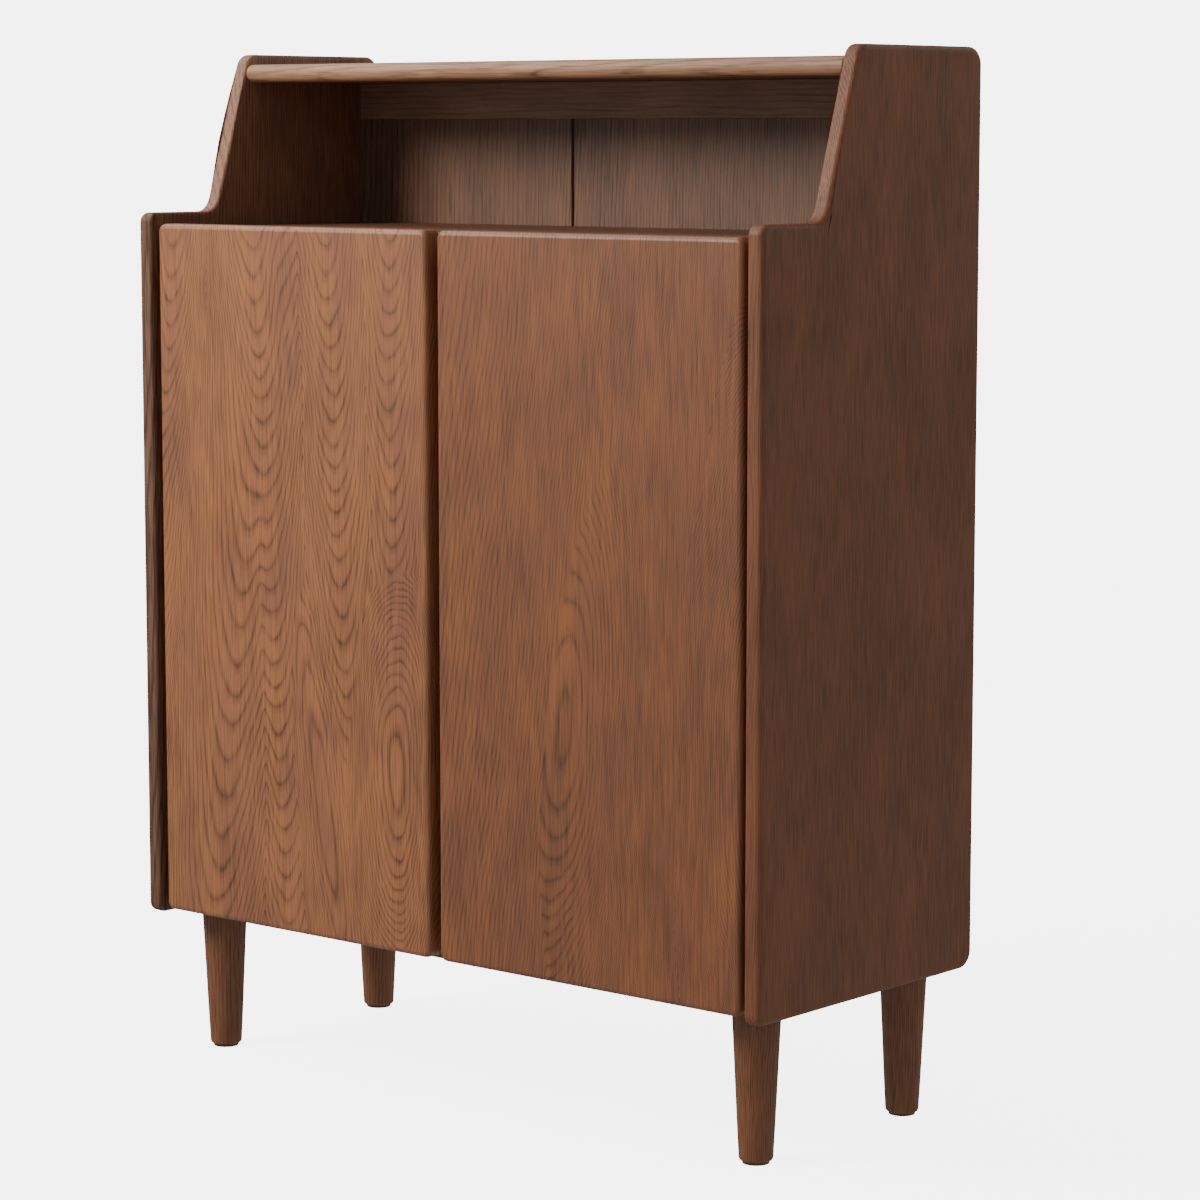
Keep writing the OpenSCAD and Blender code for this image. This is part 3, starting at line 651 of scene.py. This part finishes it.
def facingAxis(tree, letter="Z", pivot="AUTO"):
    # turns each instance so that this axis of its own follows the point's stored axis
    axis = addNode(tree, "GeometryNodeInputNamedAttribute", {"Name": "axis"}, data_type="FLOAT_VECTOR")
    return addNode(tree, "FunctionNodeAlignRotationToVector", {"Vector": axis.outputs["Attribute"]},
                   axis=letter, pivot_axis=pivot).outputs["Rotation"]


def makeBoreTree():
    tree, given = newTree(
        "boreHoles", ("Marks", "NodeSocketObject"), ("Bore Diameter", "NodeSocketFloat"),
        ("Bore Depth", "NodeSocketFloat"), ("Facets", "NodeSocketInt"), ("Material", "NodeSocketMaterial"))
    marks = addNode(tree, "GeometryNodeObjectInfo", {"Object": given["Marks"]})
    radius = addNode(tree, "ShaderNodeMath", {0: given["Bore Diameter"], 1: 0.5}, operation="MULTIPLY")
    # the drill stands with its middle at the board's face, so it is twice as long as the bore is deep
    length = addNode(tree, "ShaderNodeMath", {0: given["Bore Depth"], 1: 2.0}, operation="MULTIPLY")
    drill = addNode(tree, "GeometryNodeMeshCylinder", {
        "Vertices": given["Facets"], "Radius": radius.outputs[0], "Depth": length.outputs[0]})
    drills = addNode(tree, "GeometryNodeInstanceOnPoints", {
        "Points": marks.outputs["Geometry"], "Instance": drill.outputs["Mesh"], "Rotation": facingAxis(tree)})
    real = addNode(tree, "GeometryNodeRealizeInstances", {"Geometry": drills.outputs["Instances"]})
    cut = addNode(tree, "GeometryNodeMeshBoolean", {
        "Mesh 1": given["Geometry"], "Mesh 2": real.outputs["Geometry"]},
        operation="DIFFERENCE", solver="EXACT")
    endTree(tree, cut.outputs["Mesh"], given["Material"])
    return tree


def addTree(piece, tree, **values):
    # a modifier's inputs are set by their identifiers before the piece is first evaluated
    modifier = piece.modifiers.new(tree.name, "NODES")
    modifier.node_group = tree
    sockets = {s.name: s.identifier for s in tree.interface.items_tree if s.in_out == "INPUT"}
    for label, value in values.items():
        modifier[sockets[label.replace("_", " ")]] = value


def markPoints(name, places, axes):
    # one point at each place, with the way it faces stored on it
    mesh = bpy.data.meshes.new(name)
    mesh.from_pydata([tuple(p) for p in places], [], [])
    stored = mesh.attributes.new("axis", "FLOAT_VECTOR", "POINT")
    stored.data.foreach_set("vector", [c for axis in axes for c in axis])
    return addObject(name, mesh)


def bore(piece, places, axis, diameter, howDeep, facets):
    marks = markPoints(piece.name + "Marks", places, [axis] * len(places))
    addTree(piece, boreTree, Marks=marks, Bore_Diameter=diameter * mm, Bore_Depth=howDeep * mm,
            Facets=facets, Material=piece.data.materials[0])
    applyModifiers(piece)
    bpy.data.objects.remove(marks)


sharpFrom = {"wood": 40, "metal": 35}    # degrees between two faces from which their edge is shaded sharp


def finishEdges(piece):
    # shading follows the large faces, so that flats stay flat and rounds stay round
    shadeSmooth(piece.data, sharpFrom["wood"])
    weigh = piece.modifiers.new("weigh", "WEIGHTED_NORMAL")
    weigh.keep_sharp = True
    return applyModifiers(piece)


boreTree = makeBoreTree()
for side, high in (("left", 0), ("right", 1)):
    node = "side_panel_" + side
    panel = softSlab(side + "SidePanel", node, 0, high, slab["panelOuter"], slab["panelInner"],
                     oak["side_left" if side == "left" else "side"])
    bore(panel, boreMouths(node, 0, 1 - high, slab["pegHole"] * mm), (1, 0, 0), slab["pegHole"],
         slab["pegDepth"], slab["pegFacets"])
    settle(finishEdges(panel), node)
    node = "door_" + side
    door = softSlab(side + "DoorPanel", node, 1, 0, slab["doorFront"], slab["doorBack"], oak[node])
    bore(door, boreMouths(node, 1, 1, slab["cupBore"] * mm), (0, 1, 0), slab["cupBore"],
         slab["cupDepth"], slab["cupFacets"])
    settle(finishEdges(door), node)
topBoard = softSlab("topBoard", "top_board", 0, 1, slab["topEnds"], slab["topEnds"], oak["top"])
settle(finishEdges(topBoard), "top_board")
print("slabs: side panels, doors and top board")


# ---- turned legs

# diameter and rounding in millimetres
leg = {"footDiameter": 32.5, "footRound": 3.5, "topRound": 2.0, "roundSteps": 4, "facets": 72}


def turnedLeg(name, node):
    # a cone from foot to top, with both its rims rounded
    low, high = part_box(node)
    centre = (low + high) / 2
    foot = leg["footDiameter"] * mm / 2
    top = (high.x - low.x) / 2
    footRound = quarterRound(leg["footRound"] * mm, leg["roundSteps"])
    topRound = quarterRound(leg["topRound"] * mm, leg["roundSteps"])
    profile = [(foot - inset, low.z + rise) for rise, inset in footRound]
    profile += [(foot + (top - foot) * share, low.z + (high.z - low.z) * share)
                for share in (0.25, 0.5, 0.75)]
    profile += [(top - inset, high.z - rise) for rise, inset in reversed(topRound)]
    turns = [2 * math.pi * k / leg["facets"] for k in range(leg["facets"])]
    made = bmesh.new()
    rings = []
    for radius, height in profile:
        rings.append([made.verts.new((centre.x + radius * math.cos(turn), centre.y + radius * math.sin(turn),
                                      height)) for turn in turns])
    joinRings(made, rings)
    bmesh.ops.recalc_face_normals(made, faces=made.faces)
    return pieceFrom(name, made, oak["leg"])


for row in ("front", "rear"):
    for side in ("left", "right"):
        node = f"leg_{row}_{side}"
        piece = turnedLeg(f"turnedLeg{row.title()}{side.title()}", node)
        settle(finishEdges(piece), node)
print("legs: four turned")


# ---- boards and fittings whose sharp edges are eased

eased = {
    # radius of the eased edge and shortest edge that is eased, in millimetres, steps round the edge,
    # and the nodes: the boards' by finish, the fittings' by the start of their names
    "boards": (0.8, 12, 2, {
        "counter": ["counter_board"],
        "board": ["bottom_board", "shelf_left_lower", "shelf_left_middle", "shelf_left_upper",
                  "shelf_right_lower", "shelf_right_middle", "shelf_right_upper"],
        "partition": ["centre_partition"],
        "rail": ["back_rail"],
        "back": ["back_panel_left", "back_panel_right", "back_joint_strip"]}),
    "fittings": (0.35, 0, 1, ("hinge_cup_", "hinge_arm_", "hinge_plate_left", "hinge_plate_right",
                              "door_catch_", "strike_plate_", "door_bumpers_", "foot_pads")),
    "flatUnder": 0.5, "sharpOver": 60,    # degrees between two faces that are one flat, or a sharp edge
}


def easedCopy(name, node, radius, shortest, material, steps):
    # a merged copy of a node whose long sharp edges are rounded
    copy = mergedCopy(node)
    bmesh.ops.dissolve_limit(copy, angle_limit=math.radians(eased["flatUnder"]), verts=copy.verts,
                             edges=copy.edges)
    sharp = [e for e in copy.edges if len(e.link_faces) == 2 and e.calc_length() > shortest * mm
             and e.calc_face_angle() > math.radians(eased["sharpOver"])]
    # small fittings may be thinner than the eased edge, so there the bevel is held back
    bmesh.ops.bevel(copy, geom=sharp, offset=radius * mm, segments=steps, profile=0.5, affect="EDGES",
                    clamp_overlap=shortest == 0)
    return pieceFrom(name, copy, material)


def pieceName(node):
    words = node.split("_")
    return words[0] + "".join(word.title() for word in words[1:])


radius, shortest, steps, groups = eased["boards"]
for kind, nodes in groups.items():
    for node in nodes:
        settle(finishEdges(easedCopy(pieceName(node), node, radius, shortest, oak[kind], steps)), node)
print("boards: edges eased")

radius, shortest, steps, starts = eased["fittings"]
for node, part in frame["nodes"].items():
    if node.startswith(starts) and "screws" not in node:
        coat = finish[part.data.materials[0].name]
        settle(finishEdges(easedCopy(pieceName(node), node, radius, shortest, coat, steps)), node)
print("fittings: edges eased")


# ---- screws: one tree makes every kind, with a cross recess in a tapered head

# shares of the head's diameter or height; what lies further out than rimFrom is the head's rim, and
# what lies further in than shankUnder is the shank
screw = {"recessWide": 0.6, "recessNarrow": 0.13, "recessDeep": 0.6, "headTaper": 0.72, "shankInHead": 0.1,
         "rimFrom": 0.98, "shankUnder": 0.9, "facets": 32}


def makeScrewTree():
    tree, given = newTree(
        "crossHeadScrews", ("Head Diameter", "NodeSocketFloat"), ("Head Height", "NodeSocketFloat"),
        ("Shank Diameter", "NodeSocketFloat"), ("Shank Length", "NodeSocketFloat"),
        ("Facets", "NodeSocketInt"), ("Material", "NodeSocketMaterial"))

    def times(value, share):
        return addNode(tree, "ShaderNodeMath", {0: value, 1: share}, operation="MULTIPLY").outputs[0]

    def lifted(geometry, height):
        place = addNode(tree, "ShaderNodeCombineXYZ", {"Z": height})
        return addNode(tree, "GeometryNodeTransform", {"Geometry": geometry,
                                                       "Translation": place.outputs[0]}).outputs[0]

    height = given["Head Height"]
    head = addNode(tree, "GeometryNodeMeshCone", {
        "Vertices": given["Facets"], "Radius Top": times(given["Head Diameter"], 0.5 * screw["headTaper"]),
        "Radius Bottom": times(given["Head Diameter"], 0.5), "Depth": height})
    bars = addNode(tree, "GeometryNodeJoinGeometry")
    wide, narrow = screw["recessWide"], screw["recessNarrow"]
    for shareX, shareY in ((wide, narrow), (narrow, wide)):
        size = addNode(tree, "ShaderNodeCombineXYZ", {
            "X": times(given["Head Diameter"], shareX), "Y": times(given["Head Diameter"], shareY),
            "Z": times(height, 2 * screw["recessDeep"])})
        bar = addNode(tree, "GeometryNodeMeshCube", {"Size": size.outputs[0]})
        tree.links.new(bar.outputs["Mesh"], bars.inputs["Geometry"])
    # the head hangs down from the marked point, which is the middle of its top
    cut = addNode(tree, "GeometryNodeMeshBoolean", {
        "Mesh 1": lifted(head.outputs["Mesh"], times(height, -1.0)), "Mesh 2": bars.outputs["Geometry"]},
        operation="DIFFERENCE", solver="EXACT")
    # the shank runs a little way up inside the head
    inHead = screw["shankInHead"]
    reach = addNode(tree, "ShaderNodeMath", {0: height, 1: inHead, 2: given["Shank Length"]},
                    operation="MULTIPLY_ADD")
    shank = addNode(tree, "GeometryNodeMeshCylinder", {
        "Vertices": given["Facets"], "Radius": times(given["Shank Diameter"], 0.5),
        "Depth": reach.outputs[0]})
    below = addNode(tree, "ShaderNodeMath", {0: reach.outputs[0], 1: -0.5, 2: times(height, inHead - 1)},
                    operation="MULTIPLY_ADD")
    both = addNode(tree, "GeometryNodeJoinGeometry", {"Geometry": cut.outputs["Mesh"]})
    tree.links.new(lifted(shank.outputs["Mesh"], below.outputs[0]), both.inputs["Geometry"])
    spread = addNode(tree, "GeometryNodeInstanceOnPoints", {
        "Points": given["Geometry"], "Instance": both.outputs["Geometry"], "Rotation": facingAxis(tree)})
    endTree(tree, spread.outputs["Instances"], given["Material"])
    return tree


def readScrews(node):
    # where each screw's head ends, which way it faces, and the sizes that the node's screws share
    places, axes, sizes = [], [], None
    for part in looseParts(node):
        low, high = boxOf(part)
        size = high - low
        along = max(range(3), key=lambda i: size[i])
        centre = (low + high) / 2

        def away(point):
            return math.hypot(*(point[i] - centre[i] for i in range(3) if i != along))

        headRadius = max(away(p) for p in part)
        head = [p[along] for p in part if away(p) > screw["rimFrom"] * headRadius]
        shankRadius = max(away(p) for p in part if away(p) < screw["shankUnder"] * headRadius)
        outward = 1 if sum(head) / len(head) > centre[along] else -1
        top = centre.copy()
        top[along] = high[along] if outward > 0 else low[along]
        facing = Vector((0, 0, 0))
        facing[along] = outward
        places.append(top)
        axes.append(facing)
        height = max(head) - min(head)
        sizes = (2 * headRadius, height, 2 * shankRadius, size[along] - height)
    return places, axes, sizes


screwTree = makeScrewTree()
made = 0
for node in [n for n in frame["nodes"] if n.endswith(("screws", "screws_left", "screws_right"))]:
    places, axes, (headWide, headHigh, shankWide, shankLong) = readScrews(node)
    piece = markPoints(pieceName(node), places, axes)
    addTree(piece, screwTree, Head_Diameter=headWide, Head_Height=headHigh, Shank_Diameter=shankWide,
            Shank_Length=shankLong, Facets=screw["facets"], Material=finish["zinc"])
    applyModifiers(piece)
    shadeSmooth(piece.data, sharpFrom["metal"])
    settle(piece, node)
    made += len(places)
print("screws:", made)


# ---- shelf pins: one tree, a peg with a back plate and the tab that carries the shelf

# in millimetres; corners further in than inFromSide belong to the peg, whose end they show within endSlack
pin = {"pegDiameter": 5.0, "pegLength": 8.0, "plateThick": 0.8, "tabLong": 11.0, "tabThick": 2.0,
       "facets": 20, "inFromSide": 0.3, "endSlack": 0.1}


def makePinTree():
    tree, given = newTree(
        "shelfPins", ("Peg Diameter", "NodeSocketFloat"), ("Peg Length", "NodeSocketFloat"),
        ("Plate Size", "NodeSocketVector"), ("Plate Lift", "NodeSocketFloat"),
        ("Tab Size", "NodeSocketVector"), ("Tab Lift", "NodeSocketFloat"),
        ("Facets", "NodeSocketInt"), ("Material", "NodeSocketMaterial"))
    radius = addNode(tree, "ShaderNodeMath", {0: given["Peg Diameter"], 1: 0.5}, operation="MULTIPLY")
    peg = addNode(tree, "GeometryNodeMeshCylinder", {
        "Vertices": given["Facets"], "Radius": radius.outputs[0], "Depth": given["Peg Length"]})
    # every part starts at the board's face: the peg runs into the board, plate and tab come out of it,
    # and the peg also fills half the plate
    inward = addNode(tree, "ShaderNodeMath", {0: given["Peg Length"], 1: -0.5, 2: pin["plateThick"] * mm / 2},
                     operation="MULTIPLY_ADD")
    pegPlace = addNode(tree, "ShaderNodeCombineXYZ", {"X": inward.outputs[0]})
    parts = [(peg, pegPlace, (0, math.pi / 2, 0))]
    for part in ("Plate", "Tab"):
        block = addNode(tree, "GeometryNodeMeshCube", {"Size": given[part + " Size"]})
        size = addNode(tree, "ShaderNodeSeparateXYZ", {0: given[part + " Size"]})
        half = addNode(tree, "ShaderNodeMath", {0: size.outputs["X"], 1: 0.5}, operation="MULTIPLY")
        place = addNode(tree, "ShaderNodeCombineXYZ", {"X": half.outputs[0], "Z": given[part + " Lift"]})
        parts.append((block, place, (0, 0, 0)))
    whole = addNode(tree, "GeometryNodeMeshBoolean", operation="UNION", solver="EXACT")
    for part, place, turn in parts:
        moved = addNode(tree, "GeometryNodeTransform", {
            "Geometry": part.outputs["Mesh"], "Rotation": turn, "Translation": place.outputs[0]})
        tree.links.new(moved.outputs["Geometry"], whole.inputs["Mesh 2"])
    spread = addNode(tree, "GeometryNodeInstanceOnPoints", {
        "Points": given["Geometry"], "Instance": whole.outputs["Mesh"],
        "Rotation": facingAxis(tree, "X", "Z")})
    endTree(tree, spread.outputs["Instances"], given["Material"])
    return tree


def readPins(node):
    # the board's face behind each pin, level with its peg, and the way the pin looks; then how far
    # plate and tab stand above the peg, and how wide and tall the plate is, which all pins share
    places, axes, sizes = [], [], None
    for part in looseParts(node):
        low, high = boxOf(part)
        rim = [p for p in part if min(high.y - p.y, p.y - low.y) > pin["inFromSide"] * mm]
        pegX = min(rim, key=lambda p: min(abs(p.x - low.x), abs(p.x - high.x))).x
        outward = 1 if abs(pegX - low.x) < abs(pegX - high.x) else -1
        pegs = [p.z for p in rim if abs(p.x - pegX) < pin["endSlack"] * mm]
        back = low.x if outward > 0 else high.x
        place = Vector((back + outward * pin["pegLength"] * mm, (low.y + high.y) / 2,
                        (min(pegs) + max(pegs)) / 2))
        places.append(place)
        axes.append((outward, 0, 0))
        sizes = ((low.z + high.z) / 2 - place.z, high.z - pin["tabThick"] * mm / 2 - place.z,
                 high.y - low.y, high.z - low.z)
    return places, axes, sizes


places, axes, (plateLift, tabLift, wide, tall) = readPins("shelf_pins")
pins = markPoints("shelfPins", places, axes)
addTree(pins, makePinTree(), Peg_Diameter=pin["pegDiameter"] * mm,
        Peg_Length=(pin["pegLength"] + pin["plateThick"] / 2) * mm,
        Plate_Size=(pin["plateThick"] * mm, wide, tall), Plate_Lift=plateLift,
        Tab_Size=(pin["tabLong"] * mm, wide, pin["tabThick"] * mm), Tab_Lift=tabLift,
        Facets=pin["facets"], Material=finish["nickel"])
applyModifiers(pins)
shadeSmooth(pins.data, sharpFrom["metal"])
settle(pins, "shelf_pins")
print("shelf pins:", len(places))


# ---- the nodes that show as they are take the finish of their slot

for node, part in frame["nodes"].items():
    if part.hide_render:
        continue
    slotName = part.data.materials[0].name
    material = finish.get(slotName, oak["board"])
    for place in part.material_slots:
        place.material = material
print("fittings: finishes given")
